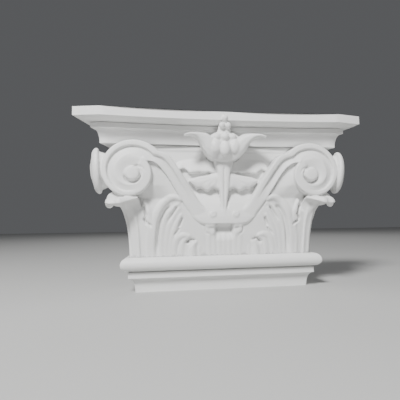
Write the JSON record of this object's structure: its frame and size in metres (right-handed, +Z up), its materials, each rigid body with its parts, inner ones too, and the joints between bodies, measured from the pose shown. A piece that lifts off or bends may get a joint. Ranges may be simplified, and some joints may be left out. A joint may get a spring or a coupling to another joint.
{
  "type": "pilaster capital",
  "caption": "Flat-backed capital for a pilaster: hollow-fronted moulded top, corner scrolls, acanthus leaves, a central flower with berries and a moulded foot, cast in one.",
  "frame": {"origin": "middle of the flat underside, where the capital sits on the shaft", "axes": "+X along the wall, +Z up, front toward -Y, flat back facing +Y"},
  "size_m": [0.321, 0.068, 0.1985],
  "materials": {
    "capital": "smooth white casting, primed, matt to eggshell"
  },
  "bodies": {
    "root": {"capital": "capital"}
  },
  "joints": []
}
